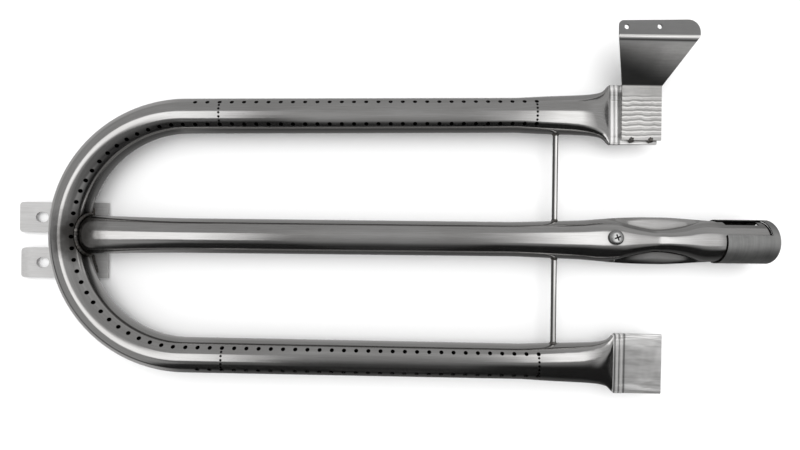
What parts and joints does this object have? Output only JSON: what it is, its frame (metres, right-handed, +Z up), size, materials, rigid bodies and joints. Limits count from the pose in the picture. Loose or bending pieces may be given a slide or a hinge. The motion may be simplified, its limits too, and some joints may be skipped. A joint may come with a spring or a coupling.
{
  "type": "gas grill tube burner",
  "caption": "U-shaped stainless tube burner with drilled flame ports, flattened arm ends, a central venturi feed tube, a turning air shutter, mounting straps and an igniter bracket.",
  "frame": {"origin": "middle of the underside of the whole burner's box, level with the bottom of the air shutter", "axes": "+X from the closed end of the U to the gas inlet, +Y to the arm with the igniter bracket, +Z up, away from the mounting straps"},
  "size_m": [0.5634, 0.2687, 0.0402],
  "materials": {
    "tube": "bright drawn stainless tube, lengthwise polish, roughness about 0.24",
    "sheet": "ground stainless sheet with fine parallel grinding lines, roughness about 0.36",
    "shutter": "dull grey steel, roughness about 0.5",
    "rod": "drawn stainless rod, roughness about 0.32",
    "screw": "plain steel screw, roughness about 0.3",
    "weld": "dark oxidised weld bead, roughness about 0.5"
  },
  "bodies": {
    "burner": {"burner_tube": "tube", "feed_tube": "tube", "inlet_end": "tube", "junction_weld": "weld", "venturi_screw": "screw", "cross_rod_rear": "rod", "cross_rod_front": "rod", "rod_weld_rear_inner": "weld", "rod_weld_rear_outer": "weld", "rod_weld_front_inner": "weld", "rod_weld_front_outer": "weld", "mounting_strap_rear": "sheet", "mounting_strap_front": "sheet", "strap_weld_rear_outer": "weld", "strap_weld_rear_inner": "weld", "strap_weld_front_outer": "weld", "strap_weld_front_inner": "weld", "igniter_bracket": "sheet", "bracket_tack_left": "weld", "bracket_tack_right": "weld"},
    "air_shutter": {"air_shutter": "shutter"}
  },
  "joints": [
    {"name": "shutter_turn", "type": "hinge", "parent": "burner", "child": "air_shutter", "pos_m": [0.2629, -0.02021, 0.01625], "axis": [-1, 0, 0], "range_deg": [-24.5, 35.5]}
  ]
}
